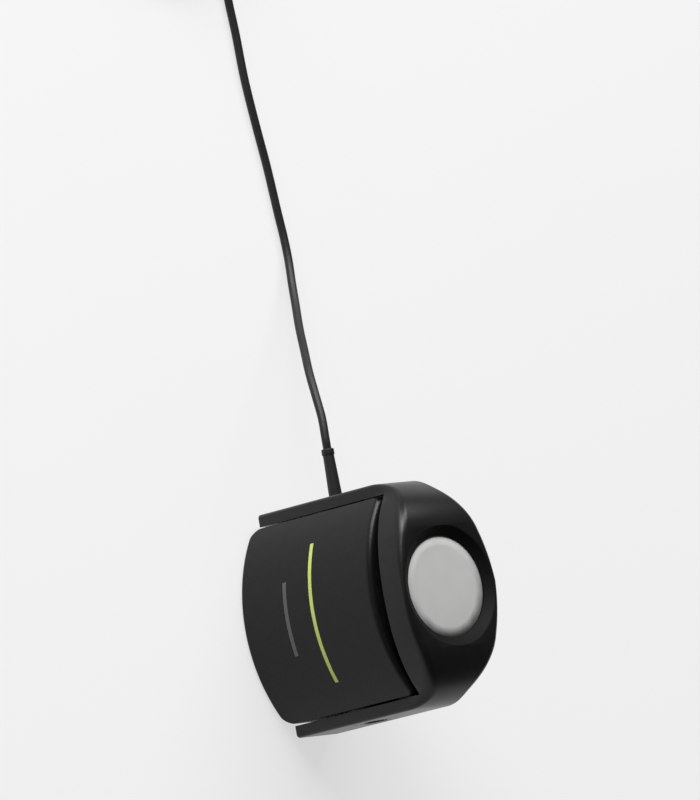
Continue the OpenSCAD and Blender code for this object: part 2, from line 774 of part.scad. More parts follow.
module diffuser_arm() {
    color("#303031") difference() {
        arm_form();
        arm_sweep();
        translate([-through / 2, 0, pivot_z]) along_x() cylinder(r = trunnion_r + hinge_fit, h = through);
        rotate_extrude() polygon([
            [0, well_z], [disc_r, well_z], [rim_r, arm_top],
            [rim_r + past, arm_top + past], [0, arm_top + past]
        ]);
        translate([0, 0, pivot_z]) cylinder(r = disc_r + seat_fit, h = well_z - pivot_z + past);
        translate([0, 0, pivot_z]) cylinder(r = disc_out + seat_fit, h = disc_seat - pivot_z);
        translate([leg_in - past, 0, pivot_z + magnet_rise])
            along_x() cylinder(r = magnet_r + seat_fit, h = magnet_t + past);
    }
}

// A flanged disc with a slight crown
module diffuser_disc() {
    color("#e9e9e4") rotate_extrude() polygon(concat(
        [[0, disc_low], [disc_out, disc_low], [disc_out, disc_seat], [disc_r, disc_seat]],
        [for (f = [1, 0.8, 0.55, 0.3]) [disc_r * f, well_z - disc_crown * f * f]],
        [[0, well_z]]
    ));
}

module diffuser_retainer() {
    color("#232324") translate([0, 0, disc_low - disc_retainer_t]) difference() {
        cylinder(r = disc_out, h = disc_retainer_t);
        translate([0, 0, -past]) cylinder(r = light_hole_r, h = disc_retainer_t + 2 * past);
    }
}

module position_magnet() {
    color("#c2c2c6") translate([leg_in, 0, pivot_z + magnet_rise]) along_x()
        cylinder(r = magnet_r, h = magnet_t);
}

module strain_relief() {
    color("#1d1d1e") translate([-arm_x, 0, pivot_z]) rotate([0, -90, 0]) rotate_extrude() polygon([
        [0, -relief_spigot], [relief_root_r, -relief_spigot], [relief_root_r, 0],
        [relief_neck_r, relief_l - relief_collar_l],
        [relief_collar_r, relief_l - relief_collar_l], [relief_collar_r, relief_l], [0, relief_l]
    ]);
}

// Points between the chosen ones, on a curve through them
function blend(p, i, f) =
    let (a = p[max(i - 1, 0)], b = p[i], c = p[i + 1], d = p[min(i + 2, len(p) - 1)])
    0.5 * (2 * b + (c - a) * f + (2 * a - 5 * b + 4 * c - d) * f * f + (3 * b - 3 * c + d - a) * f * f * f);
function smooth(p) = concat([for (i = [0 : len(p) - 2], f = [0, 0.5]) blend(p, i, f)], [p[len(p) - 1]]);

module cord_run() {
    color("#1b1b1c") tube(smooth(cord_route), cord_r, 8, [0, 0, 1]);
}

module cord_coil() {
    color("#1b1b1c") tube(coil_points, cord_r, 6, [0, 0, 1]);
}

module cord_tail() {
    color("#1b1b1c") tube(smooth(tail_route), cord_r, 8, [0, 0, 1]);
}

// A strap round the bundle of turns
module coil_tie() {
    gap = 0.4;
    near = coil_in - cord_r - 2 * gap;
    far = coil_out + cord_r + gap;
    low = coil_low - cord_r - gap;
    high = coil_top + cord_r + gap;
    color("#262627") translate([coil_x, coil_y, 0]) rotate(tie_angle) difference() {
        translate([near - tie_t, -tie_w / 2, max(low - tie_t, 0.05)])
            cube([far - near + 2 * tie_t, tie_w, high + tie_t - max(low - tie_t, 0.05)]);
        translate([near, -tie_w, low]) cube([far - near, 2 * tie_w, high - low]);
    }
}

module plug_relief() {
    color("#1d1d1e") translate(plug_at) along_x()
        cylinder(r1 = relief_neck_r, r2 = relief_root_r, h = plug_relief_l);
}

module rounded_bar(w, h, r) {
    square([w - 2 * r, h], center = true);
    square([w, h - 2 * r], center = true);
    for (sx = [-1, 1], sy = [-1, 1]) translate([sx * (w / 2 - r), sy * (h / 2 - r)]) circle(r);
}

module plug_grip() {
    color("#1f1f20") translate(plug_at + [plug_relief_l, 0, 0]) rotate([90, 0, 90])
        linear_extrude(grip_l) rounded_bar(grip_w, grip_h, grip_corner_r);
}

module plug_shell() {
    color("#c9c9cc") translate(plug_at + [plug_relief_l + grip_l, 0, 0]) rotate([90, 0, 90])
        linear_extrude(shell_l)
        difference() {
            rounded_bar(shell_w, shell_h, shell_h / 2 - 0.01);
            rounded_bar(shell_w - 2 * shell_t, shell_h - 2 * shell_t, shell_h / 2 - shell_t - 0.01);
        }
}

module plug_tongue() {
    tongue_w = shell_w - shell_h - 2 * shell_t;
    color("#18181a") translate(plug_at + [plug_relief_l + grip_l, -tongue_w / 2, -shell_t])
        cube([shell_l - 2, tongue_w, 2 * shell_t]);
}

// The counterweight, about its own middle with the cord along Y, cut flat where it lies
module weight_form() {
    intersection() {
        along_y() rotate_extrude() {
            translate([0, -weight_l / 2]) square([weight_r - weight_end_r, weight_l]);
            translate([0, -weight_l / 2 + weight_end_r]) square([weight_r, weight_l - 2 * weight_end_r]);
            for (s = [-1, 1]) translate([weight_r - weight_end_r, s * (weight_l / 2 - weight_end_r)])
                circle(weight_end_r);
        }
        translate([-through / 2, -through / 2, -weight_at[2]]) cube(through);
    }
}

spring_low = -button_r - spring_h;
module weight_hollows() {
    translate([0, -through / 2, 0]) along_y() cylinder(r = weight_bore_r, h = through);
    for (s = [0, 180]) rotate(s) translate([0, slug_y, 0]) along_y()
        cylinder(r = slug_r + slide_fit, h = slug_l);
    translate([0, 0, spring_low]) cylinder(r = button_r + slide_fit, h = through);
}

module weight_half(side) {
    difference() {
        weight_form();
        weight_hollows();
        translate([-through / 2, -through / 2, side > 0 ? -through : 0]) cube(through);
    }
}

module weight_lower() {
    color("#252526") translate(weight_at) weight_half(-1);
}

module weight_upper() {
    color("#252526") translate(weight_at) weight_half(1);
}

module weight_slugs() {
    color("#77787c") translate(weight_at) for (s = [0, 180])
        rotate(s) translate([0, slug_y, 0]) along_y() difference() {
        cylinder(r = slug_r, h = slug_l);
        translate([0, 0, -past]) cylinder(r = weight_bore_r, h = slug_l + 2 * past);
    }
}

// A plunger with a cross slot that nips the cord until it is pressed
module weight_button() {
    color("#3a3a3c") translate(weight_at) difference() {
        translate([0, 0, -button_r]) cylinder(r = button_r, h = weight_r + button_proud + button_r);
        translate([0, -through / 2, 0]) along_y() cylinder(r = weight_bore_r, h = through);
        translate([-weight_bore_r, -through / 2, 0]) cube([2 * weight_bore_r, through, button_travel]);
        translate([0, -through / 2, button_travel]) along_y() cylinder(r = weight_bore_r, h = through);
    }
}

module weight_spring() {
    turns = spring_curls * 8;
    rise = spring_h - spring_wire - 0.1;
    color("#a8a8ac") translate(weight_at + [0, 0, spring_low + spring_wire / 2 + 0.05])
        tube([for (i = [0 : turns]) [spring_r * cos(45 * i), spring_r * sin(45 * i), rise * i / turns]],
            spring_wire / 2, 6, [0, 0, 1]);
}

label_shell();
rear_shell();
contact_pad();
lens_barrel();
objective_lens();
lens_retainer();
aperture_baffle();
filter_plate();
sensor_chip();
sensor_board();
board_screws();
controller_chip();
position_sensor();
cable_socket();
inner_lead();
status_lamp();
light_bar();
shell_screws();
cable_trunnion();
tripod_trunnion();
tripod_insert();
hinge_washers();
diffuser_arm();
diffuser_disc();
diffuser_retainer();
position_magnet();
strain_relief();
cord_run();
cord_coil();
cord_tail();
coil_tie();
plug_relief();
plug_grip();
plug_shell();
plug_tongue();
weight_lower();
weight_upper();
weight_slugs();
weight_button();
weight_spring();
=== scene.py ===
"""Hanging screen colorimeter: looks, floor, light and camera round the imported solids.

Lengths are written in millimetres, as in the part's own drawing, and MM turns them into metres.
"""

import json
import math

import bmesh
import bpy
import numpy as np
from mathutils import Matrix, Vector


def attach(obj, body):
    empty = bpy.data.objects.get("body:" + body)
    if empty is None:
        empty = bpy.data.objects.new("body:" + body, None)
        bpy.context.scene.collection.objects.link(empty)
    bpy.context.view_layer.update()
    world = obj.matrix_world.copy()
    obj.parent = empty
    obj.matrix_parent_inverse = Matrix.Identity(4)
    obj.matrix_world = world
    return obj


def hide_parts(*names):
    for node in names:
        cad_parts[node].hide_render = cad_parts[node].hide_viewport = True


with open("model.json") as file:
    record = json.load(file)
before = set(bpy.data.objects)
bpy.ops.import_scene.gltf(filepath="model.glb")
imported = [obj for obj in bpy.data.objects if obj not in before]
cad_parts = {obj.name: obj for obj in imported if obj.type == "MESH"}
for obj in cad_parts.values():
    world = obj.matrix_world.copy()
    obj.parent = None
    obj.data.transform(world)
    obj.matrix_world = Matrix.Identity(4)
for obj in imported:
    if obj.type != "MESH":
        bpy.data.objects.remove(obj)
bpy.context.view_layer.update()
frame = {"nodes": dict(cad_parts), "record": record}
NODES = frame["nodes"]
MM = 0.001


# Sizes that the surfaces share with the solids: corners and hinge are read from the frame
def points_of(mesh):
    """A mesh's points in millimetres, one row each."""
    place = np.empty(len(mesh.vertices) * 3)
    mesh.vertices.foreach_get("co", place)
    return place.reshape(-1, 3) / MM


def corners_of(node):
    """The lowest and the highest corner of a solid, in millimetres, to a hundredth."""
    points = points_of(NODES[node].data)
    return points.min(0).round(2), points.max(0).round(2)


def hinge_place(name):
    """The point that a hinge turns about, in millimetres, to a hundredth."""
    hinge = next(joint for joint in frame["record"]["behaviour"]["joints"] if joint["name"] == name)
    return (np.array(hinge["pos_m"]) / MM).round(2)


PIVOT_Z = hinge_place("arm_swing")[2]
body_low, body_high = corners_of("label_shell")
BODY_HALF, BODY_LOW, BODY_H = body_high[0], body_low[2], body_high[2]
BODY_D, BULGE_R, LIP_R, FOOT_R = 37.8, 46.0, 1.8, 1.0
BULGE_Y = BULGE_R - BODY_D / 2
arm_low, arm_high = corners_of("diffuser_arm")
ARM_X, LEG_LOW, ARM_TOP = arm_high[0], arm_low[2], arm_high[2]
LEG_IN, LEG_HALF, SHOULDER_R = 28.5, 8.0, 17.0
CORD_R = 1.2


# Camera: where the photograph was taken from, turned so that the device and its cord fill the frame
CAMERA_AT = Vector((265.7, -2437.6, 2540.5)) * MM
LOOK_AHEAD = Vector((-0.09219, 0.69499, -0.71308))
LOOK_RIGHT = Vector((0.17465, 0.71632, 0.67557))
FOCAL_PIXELS = 12507.0
IMAGE_HEIGHT = 800.0
SENSOR_HEIGHT = 36.0
NEAREST, FARTHEST = 50.0, 20000.0


def place_camera():
    """Camera axes from two directions of view: ahead, and to the right in the picture."""
    ahead = LOOK_AHEAD.normalized()
    right = (LOOK_RIGHT - ahead * LOOK_RIGHT.dot(ahead)).normalized()
    up = right.cross(ahead)
    data = bpy.data.cameras.new("camera")
    data.sensor_fit = "VERTICAL"
    data.sensor_height = SENSOR_HEIGHT
    data.lens = FOCAL_PIXELS / IMAGE_HEIGHT * SENSOR_HEIGHT
    data.clip_start = NEAREST * MM
    data.clip_end = FARTHEST * MM
    camera = bpy.data.objects.new("camera", data)
    turn = Matrix((right, up, -ahead)).transposed().to_4x4()
    camera.matrix_world = Matrix.Translation(CAMERA_AT) @ turn
    bpy.context.scene.collection.objects.link(camera)
    bpy.context.scene.camera = camera


place_camera()


# Meshes: points this near to each other are one, and points this near to the bulge's circle lie on it
SAME_POINT, ON_WALL = 0.002, 0.02


def mesh_piece(name, points, faces, smooth_angle=35.0):
    """A piece from points in millimetres, smooth except across edges sharper than the angle."""
    mesh = bpy.data.meshes.new(name)
    corners = [list(map(int, face)) for face in faces]
    mesh.from_pydata((np.asarray(points, float) * MM).tolist(), [], corners)
    mesh.update()
    return shaded_piece(name, mesh, smooth_angle)


def shaded(mesh, smooth_angle):
    """Smooth shading, with the edges sharper than an angle in degrees left sharp."""
    mesh.shade_smooth()
    mesh.set_sharp_from_angle(angle=math.radians(smooth_angle))


def shaded_piece(name, mesh, smooth_angle):
    """A new piece in the scene, of a mesh in metres."""
    shaded(mesh, smooth_angle)
    piece = bpy.data.objects.new(name, mesh)
    bpy.context.scene.collection.objects.link(piece)
    return piece


def grid_faces(rows, columns):
    """Quads between neighbouring rows of a grid, with its last column joined to its first."""
    i = np.arange(rows - 1)[:, None]
    k = np.arange(columns)[None, :]
    after = (k + 1) % columns
    near, far = i * columns, (i + 1) * columns
    return np.stack([near + k, near + after, far + after, far + k], -1).reshape(-1, 4).tolist()


def capped_tube(rings):
    """Points and faces of rings of points, joined into a tube with a flat cap on each end."""
    rows, columns, _ = rings.shape
    faces = grid_faces(rows, columns)
    faces.append(list(range(columns))[::-1])
    faces.append(list(range((rows - 1) * columns, rows * columns)))
    return rings.reshape(-1, 3), faces


def turned_rings(profile, sides):
    """A profile of (radius, height) turned about Z: the ring at each height is a circle of that radius."""
    profile = np.asarray(profile, float)
    angle = np.arange(sides) * 2 * math.pi / sides
    r = profile[:, 0, None]
    z = np.broadcast_to(profile[:, 1, None], (len(profile), sides))
    return np.stack([r * np.cos(angle), r * np.sin(angle), z], -1)


def onto_x(points):
    """Turns what was made about Z so that its Z runs along X."""
    return np.stack([points[..., 2], points[..., 1], -points[..., 0]], -1)


def arc(centre, radius, first, last, steps):
    """Points on a circle between two angles, in degrees."""
    a = np.radians(np.linspace(first, last, steps))
    return np.stack([centre[0] + radius * np.cos(a), centre[1] + radius * np.sin(a)], -1)


def swept_rings(path, outline):
    """An outline of (across, up) carried along a path that is never upright.

    Across is level and square to the path, and up is square to both.
    """
    path = np.asarray(path, float)
    ahead = np.gradient(path, axis=0)
    ahead /= np.linalg.norm(ahead, axis=1, keepdims=True)
    across = np.cross([0.0, 0.0, 1.0], ahead)
    across /= np.linalg.norm(across, axis=1, keepdims=True)
    up = np.cross(ahead, across)
    outline = np.asarray(outline, float)
    return path[:, None] + outline[:, 0, None] * across[:, None] + outline[:, 1, None] * up[:, None]


def circle_outline(radius, sides):
    """Points on a whole circle, evenly spread."""
    a = np.arange(sides) * 2 * math.pi / sides
    return np.stack([radius * np.cos(a), radius * np.sin(a)], -1)


def through_points(points, steps):
    """A smooth curve through chosen points: cubics, with slopes taken from the neighbours of each point."""
    p = np.asarray(points, float)
    a = np.vstack([p[:1], p[:-2]])[:, None]
    b, c = p[:-1, None], p[1:, None]
    d = np.vstack([p[2:], p[-1:]])[:, None]
    f = np.linspace(0, 1, steps, endpoint=False)[None, :, None]
    cubic = 2 * b + (c - a) * f + (2 * a - 5 * b + 4 * c - d) * f**2 + (3 * b - 3 * c + d - a) * f**3
    return np.vstack([(0.5 * cubic).reshape(-1, 3), p[-1:]])


def cut(piece, cutters):
    """Takes the cutters out of a piece, one after another, and removes them from the scene."""
    for cutter in cutters:
        carve = piece.modifiers.new("cut", "BOOLEAN")
        carve.operation = "DIFFERENCE"
        carve.solver = "MANIFOLD"
        carve.object = cutter
    settled(piece)
    for cutter in cutters:
        bpy.data.objects.remove(cutter)


def weld(mesh):
    """Closes a band on itself: merges its doubles and turns its faces outwards."""
    work = bmesh.new()
    work.from_mesh(mesh)
    bmesh.ops.remove_doubles(work, verts=work.verts, dist=SAME_POINT * MM)
    bmesh.ops.recalc_face_normals(work, faces=work.faces)
    work.to_mesh(mesh)
    work.free()


def tidy_mesh(mesh, flat_angle=0.5):
    """Merges doubles and joins what lies in one plane, so that a bevel follows real edges only."""
    work = bmesh.new()
    work.from_mesh(mesh)
    bmesh.ops.remove_doubles(work, verts=work.verts, dist=SAME_POINT * MM)
    flat = math.radians(flat_angle)
    bmesh.ops.dissolve_limit(work, angle_limit=flat, verts=work.verts, edges=work.edges)
    work.to_mesh(mesh)
    work.free()


def soften(piece, width, angle=40.0, segments=2):
    """Rounds the sharp edges of a piece by a width in millimetres."""
    bevel = piece.modifiers.new("soft_edges", "BEVEL")
    bevel.width = width * MM
    bevel.segments = segments
    bevel.limit_method = "ANGLE"
    bevel.angle_limit = math.radians(angle)


def settled(piece):
    """Bakes a piece's modifiers into its mesh."""
    bpy.context.view_layer.update()
    depsgraph = bpy.context.evaluated_depsgraph_get()
    mesh = bpy.data.meshes.new_from_object(piece.evaluated_get(depsgraph))
    piece.modifiers.clear()
    piece.data = mesh


def round_wall(piece, axis_y):
    """Shades a bulged wall as the upright cylinder that it is.

    Where a whole face lies on the wall, its normals leave the cylinder's axis level.
    """
    settled(piece)
    mesh = piece.data
    out = points_of(mesh)[:, :2] - [0, axis_y]
    reach = np.linalg.norm(out, axis=1)
    on_wall = np.abs(reach - BULGE_R) < ON_WALL
    corner = np.empty(len(mesh.loops), int)
    mesh.loops.foreach_get("vertex_index", corner)
    normals = np.empty(len(mesh.loops) * 3)
    mesh.corner_normals.foreach_get("vector", normals)
    normals = normals.reshape(-1, 3)
    first = np.empty(len(mesh.polygons), int)
    mesh.polygons.foreach_get("loop_start", first)
    whole = np.logical_and.reduceat(on_wall[corner], first)
    size = np.empty(len(mesh.polygons), int)
    mesh.polygons.foreach_get("loop_total", size)
    chosen = np.repeat(whole, size)
    level = np.column_stack([out / reach[:, None], np.zeros(len(out))])
    normals[chosen] = level[corner[chosen]]
    mesh.normals_split_custom_set(normals.tolist())


def copy_of(node, name, smooth_angle=35.0):
    """A merged copy of a solid, in its place, with smooth curved faces."""
    mesh = NODES[node].data.copy()
    mesh.materials.clear()
    tidy_mesh(mesh)
    return shaded_piece(name, mesh, smooth_angle)


# Materials
CLOUD_SHARE, CLOUD_DETAIL, FINE_DETAIL = 0.12, 3.0, 2.0
RAMP_FROM, RAMP_TO = 0.3, 0.7
GLOSS_SPREAD, GRAIN_DEEP = 0.05, 0.05
GLASS_INDEX, SMEAR = 1.5, 1.06


def material(name, tones, rough, grain, bump, metallic=0.0, specular=0.5, stretch=(1, 1, 1)):
    """Two tones mixed by a wide noise. A fine one wanders the roughness and raises a grain."""
    made = bpy.data.materials.new(name)
    made.use_nodes = True
    tree = made.node_tree
    shader = tree.nodes["Principled BSDF"]
    where = tree.nodes.new("ShaderNodeTexCoord")
    scale = tree.nodes.new("ShaderNodeMapping")
    scale.inputs["Scale"].default_value = stretch
    tree.links.new(where.outputs["Object"], scale.inputs["Vector"])
    cloud = tree.nodes.new("ShaderNodeTexNoise")
    cloud.inputs["Scale"].default_value = grain * CLOUD_SHARE
    cloud.inputs["Detail"].default_value = CLOUD_DETAIL
    fine = tree.nodes.new("ShaderNodeTexNoise")
    fine.inputs["Scale"].default_value = grain
    fine.inputs["Detail"].default_value = FINE_DETAIL
    for noise in (cloud, fine):
        tree.links.new(scale.outputs["Vector"], noise.inputs["Vector"])
    colours = tree.nodes.new("ShaderNodeValToRGB")
    for stop, place, tone in zip(colours.color_ramp.elements, (RAMP_FROM, RAMP_TO), tones):
        stop.position = place
        stop.color = (*tone, 1)
    tree.links.new(cloud.outputs["Fac"], colours.inputs["Fac"])
    tree.links.new(colours.outputs["Color"], shader.inputs["Base Color"])
    gloss = tree.nodes.new("ShaderNodeMapRange")
    gloss.inputs["To Min"].default_value = rough - GLOSS_SPREAD
    gloss.inputs["To Max"].default_value = rough + GLOSS_SPREAD
    tree.links.new(fine.outputs["Fac"], gloss.inputs["Value"])
    tree.links.new(gloss.outputs["Result"], shader.inputs["Roughness"])
    relief = tree.nodes.new("ShaderNodeBump")
    relief.inputs["Strength"].default_value = bump
    relief.inputs["Distance"].default_value = GRAIN_DEEP * MM
    tree.links.new(fine.outputs["Fac"], relief.inputs["Height"])
    tree.links.new(relief.outputs["Normal"], shader.inputs["Normal"])
    shader.inputs["Metallic"].default_value = metallic
    shader.inputs["Specular IOR Level"].default_value = specular
    return made


def grey(low, high, tint=(1.0, 1.0, 1.02)):
    """A dark and a light tone of one grey, faintly tinted."""
    return tuple(low * t for t in tint), tuple(high * t for t in tint)


def clear_material(name, tint, rough):
    """Glass of one tint, with faint smears in its polish."""
    smeared = tuple(min(1.0, c * SMEAR) for c in tint)
    made = material(name, (tint, smeared), rough + GLOSS_SPREAD, grain=60.0, bump=0.02)
    shader = made.node_tree.nodes["Principled BSDF"]
    shader.inputs["Transmission Weight"].default_value = 1.0
    shader.inputs["IOR"].default_value = GLASS_INDEX
    return made


GREEN_BOARD = (0.012, 0.09, 0.03), (0.018, 0.12, 0.04)
CREAM = (0.7, 0.66, 0.56), (0.78, 0.74, 0.64)
WARM_WHITE = (0.78, 0.78, 0.68), (0.86, 0.86, 0.78)
LIME = (0.42, 0.5, 0.1), (0.48, 0.56, 0.13)
MILKY = grey(0.46, 0.49, (1, 1, 0.985))
LOOKS = {
    "body_plastic": dict(tones=grey(0.005, 0.0065), rough=0.29, grain=2600.0, bump=0.12, specular=0.2),
    "arm_plastic": dict(tones=grey(0.005, 0.0065), rough=0.33, grain=2600.0, bump=0.3, specular=0.27),
    # Painted shade: a darker, duller finish for the well's slope, standing in for the shade inside the well
    "well_painted_shade": dict(tones=grey(0.004, 0.005), rough=0.62, grain=2600.0, bump=0.3, specular=0.1),
    "diffuser": dict(tones=MILKY, rough=0.62, grain=1200.0, bump=0.08, specular=0.35),
    "lime_print": dict(tones=LIME, rough=0.55, grain=900.0, bump=0.05),
    "light_guide": dict(tones=grey(0.055, 0.07), rough=0.34, grain=900.0, bump=0.05),
    "pad_felt": dict(tones=grey(0.008, 0.016), rough=0.9, grain=3000.0, bump=1.0, specular=0.1),
    "inner_plastic": dict(tones=grey(0.006, 0.009), rough=0.6, grain=1800.0, bump=0.2, specular=0.3),
    "washer": dict(tones=grey(0.008, 0.012), rough=0.5, grain=700.0, bump=0.1),
    "chip": dict(tones=grey(0.01, 0.014), rough=0.55, grain=1500.0, bump=0.2),
    "board": dict(tones=GREEN_BOARD, rough=0.3, grain=300.0, bump=0.05),
    "socket_plastic": dict(tones=CREAM, rough=0.5, grain=800.0, bump=0.1),
    "lamp": dict(tones=WARM_WHITE, rough=0.25, grain=500.0, bump=0.05),
    "screw_steel": dict(tones=grey(0.42, 0.52), rough=0.32, grain=900.0, bump=0.1, metallic=1.0),
    "insert_steel": dict(tones=grey(0.07, 0.09), rough=0.34, grain=700.0, bump=0.1, metallic=0.9),
    "magnet": dict(tones=grey(0.52, 0.6), rough=0.2, grain=700.0, bump=0.05, metallic=1.0),
    "slug_steel": dict(tones=grey(0.2, 0.26), rough=0.45, grain=500.0, bump=0.2, metallic=1.0),
    "plug_metal": dict(tones=grey(0.5, 0.6), rough=0.28, grain=600.0, bump=0.08, metallic=1.0,
                       stretch=(0.1, 1, 1)),
    "cord_sheath": dict(tones=grey(0.006, 0.009), rough=0.48, grain=1600.0, bump=0.2, specular=0.35),
    "weight_plastic": dict(tones=grey(0.009, 0.012), rough=0.45, grain=2400.0, bump=0.3, specular=0.35),
    "button_plastic": dict(tones=grey(0.03, 0.038), rough=0.5, grain=2000.0, bump=0.2),
}
FINISH = {name: material(name, **look) for name, look in LOOKS.items()}
FINISH["lens_glass"] = clear_material("lens_glass", (0.86, 0.94, 0.97), 0.02)
FINISH["filter_glass"] = clear_material("filter_glass", (0.4, 0.62, 0.48), 0.03)
NODE_SLOT = {entry["node"]: entry["material_slot"] for entry in frame["record"]["subparts"]}
NODE_BODY = {n: body for body, members in frame["record"]["behaviour"]["bodies"].items() for n in members}


def finish_piece(piece, slot, body, *nodes, look=None):
    """Gives a piece its finish and its body, and lets it stand for the solids that it shows."""
    piece.data.materials.clear()
    piece.data.materials.append(FINISH[look or slot])
    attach(piece, body)
    if nodes:
        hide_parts(*nodes)
    return piece


# The cord, in one piece from the strain relief to the plug
RUN_POINTS = [
    (-46, 0, 27), (-49, 0, 27), (-55, 1, 26), (-62, 2.5, 23.5), (-69, 5, 20), (-76, 9, 15.5),
    (-83, 13, 11), (-90, 17, 7), (-97, 20, 4), (-104, 22, 2.2), (-111, 22.5, 1.4), (-118, 22, 1.25),
    (-131, 21, 1.25), (-144, 19.5, 1.25), (-157, 18.3, 1.25), (-170, 18, 1.25), (-182, 17.3, 1.4),
    (-202, 17, 2), (-210, 17, 2.3), (-214, 17, 2.3),
]
TAIL_POINTS = [
    (-218.8, 17, 10.85), (-221.4, 17, 10.85), (-227, 18, 10.8), (-233, 20.5, 10.4), (-239, 23.4, 9.7),
    (-244.5, 23.2, 8.8), (-248.4, 19.4, 8), (-250, 14.5, 7.5), (-250, 10, 7.5), (-250, -3.4, 7.5),
    (-250, -17, 7.5), (-250, -21.5, 7.5), (-249, -26, 7), (-246.2, -30.6, 6), (-241.8, -33.8, 4.7),
    (-236.5, -35, 3.5), (-232.5, -35, 3.1), (-230, -35, 3.1),
]
COIL_MIDDLE = (-216.4, -3.4)
COIL_OUT, COIL_LOW, COIL_PITCH = 20.4, 2.3, 2.85
COIL_LOOPS, COIL_LAYERS, COIL_STEPS = 17, 4, 48
COIL_CLIMB = 0.5
CORD_SIDES = 14


def coil_path():
    """Spirals in and out by one pitch a turn, and climbs by one pitch within the half turn of a reversal."""
    turn = np.linspace(0, COIL_LOOPS, COIL_LOOPS * COIL_STEPS + 1)
    per_layer = COIL_LOOPS / COIL_LAYERS
    layer = np.minimum(np.floor(turn / per_layer), COIL_LAYERS - 1)
    phase = turn - layer * per_layer
    inward = np.where(layer % 2 == 0, phase, per_layer - phase)
    radius = COIL_OUT - inward * COIL_PITCH
    reversals = np.arange(1, COIL_LAYERS) * per_layer
    climbed = np.clip((turn[:, None] - reversals) / COIL_CLIMB + 0.5, 0, 1).sum(1)
    angle = math.pi / 2 + 2 * math.pi * turn
    x = COIL_MIDDLE[0] + radius * np.cos(angle)
    y = COIL_MIDDLE[1] + radius * np.sin(angle)
    return np.stack([x, y, COIL_LOW + COIL_PITCH * climbed], -1)


def cord_path():
    """The run, the coil and the tail, end to end."""
    run, tail = through_points(RUN_POINTS, steps=6), through_points(TAIL_POINTS, steps=5)
    return np.vstack([run, coil_path(), tail])


def make_cord():
    """A circle carried along the cord's path."""
    rings = swept_rings(cord_path(), circle_outline(CORD_R, CORD_SIDES))
    piece = mesh_piece("cord", *capped_tube(rings), smooth_angle=50.0)
    return finish_piece(piece, "cord_sheath", "housing", "cord_run", "cord_coil", "cord_tail")


cord = make_cord()


# The swinging arm: a rounded section carried round a U, hollowed by what it swings about
BRIDGE_DEEP, BRIDGE_EDGE, SHOULDER_EDGE, LEG_EDGE, INNER_EDGE = 11.5, 0.9, 2.4, 1.0, 0.5
PLAN_INSET, PLAN_BLEND, FOOT_ROUND = 0.8, 1.2, 0.7
LEG_SPARE, SHARE_TURN = 1.0, 35.0
SWING_GAP, SWING_RISE, UNDERSIDE_FLATTER = 0.6, 0.9, 20.0
SHOULDER_X, SHOULDER_Z = ARM_X - SHOULDER_R, ARM_TOP - SHOULDER_R
DISC_OUT, _, WELL_Z = corners_of("diffuser_disc")[1]
DISC_R, DISC_SEAT, WINDOW_TOP = 14.4, 63.3, WELL_Z + 0.5
RIM_R, RIM_SET, RIM_ROUND = 17.2, 0.25, 0.9
RIM_MIDDLE = (RIM_R + RIM_SET, ARM_TOP - RIM_ROUND)
TRUNNION_R, SEAT_GAP = 6.0, 0.05
CUT_SIDES, HOLE_SIDES, CUT_SKIN, CUT_PAST, HOLE_REACH = 160, 96, 0.02, 2.0, 60.0


def arm_stations():
    """The outer line of the U: a straight leg, an arc for the shoulder and a level bridge, then mirrored.

    Each row has a place (x, z), the outward direction there (x, z) and the share of the bridge's section.
    The share rises by a smooth step over the first part of the shoulder.
    """
    tip = LEG_LOW + FOOT_ROUND * (1 - np.cos(np.linspace(0, math.pi / 2, 6)))
    foot = np.concatenate([tip, np.linspace(tip[-1], SHOULDER_Z, 14, endpoint=False)[1:]])
    legs = np.stack([np.full_like(foot, ARM_X), foot, np.ones_like(foot), 0 * foot, 0 * foot], -1)
    a = np.radians(np.linspace(0, 90, 49))
    step = np.clip(np.degrees(a) / SHARE_TURN, 0, 1)
    share = step**2 * (3 - 2 * step)
    c, s = np.cos(a), np.sin(a)
    bend = np.stack([SHOULDER_X + SHOULDER_R * c, SHOULDER_Z + SHOULDER_R * s, c, s, share], -1)
    x = np.linspace(SHOULDER_X, 0, 17)[1:]
    bridge = np.stack([x, np.full_like(x, ARM_TOP), 0 * x, np.ones_like(x), np.ones_like(x)], -1)
    half = np.vstack([legs, bend, bridge])
    return np.vstack([half, half[-2::-1] * [-1, 1, -1, 1, 1]])


def bulge_at(x):
    """Half depth of the barrel-shaped plan at a place across the body."""
    return np.sqrt(BULGE_R**2 - x**2) - BULGE_Y


def arm_half(x):
    """Half depth of the arm's plan: the bulge less an inset, passing softly into the width of the legs."""
    over = bulge_at(x) - PLAN_INSET - LEG_HALF
    return LEG_HALF + (over + np.hypot(over, PLAN_BLEND)) / 2


def swing_room():
    """Profile (radius, place along the hinge) of the room that the body needs as it turns.

    The radius is the farther reach of the lip or the foot, plus a gap that widens towards the middle.
    """
    x = np.append(np.linspace(0, BODY_HALF, 29)[:-1], LEG_IN)
    within = np.minimum(x, BODY_HALF)
    lip = np.hypot(bulge_at(within) - LIP_R, BODY_H - LIP_R - PIVOT_Z) + LIP_R
    foot = np.hypot(bulge_at(within) - FOOT_R, PIVOT_Z - BODY_LOW - FOOT_R) + FOOT_R
    reach = np.maximum(lip, foot)
    radius = reach + SWING_GAP + SWING_RISE * np.cos(x / LEG_IN * math.pi / 2) ** 2
    half = np.stack([radius, x], -1)
    return np.vstack([half[:0:-1] * [1, -1], half])


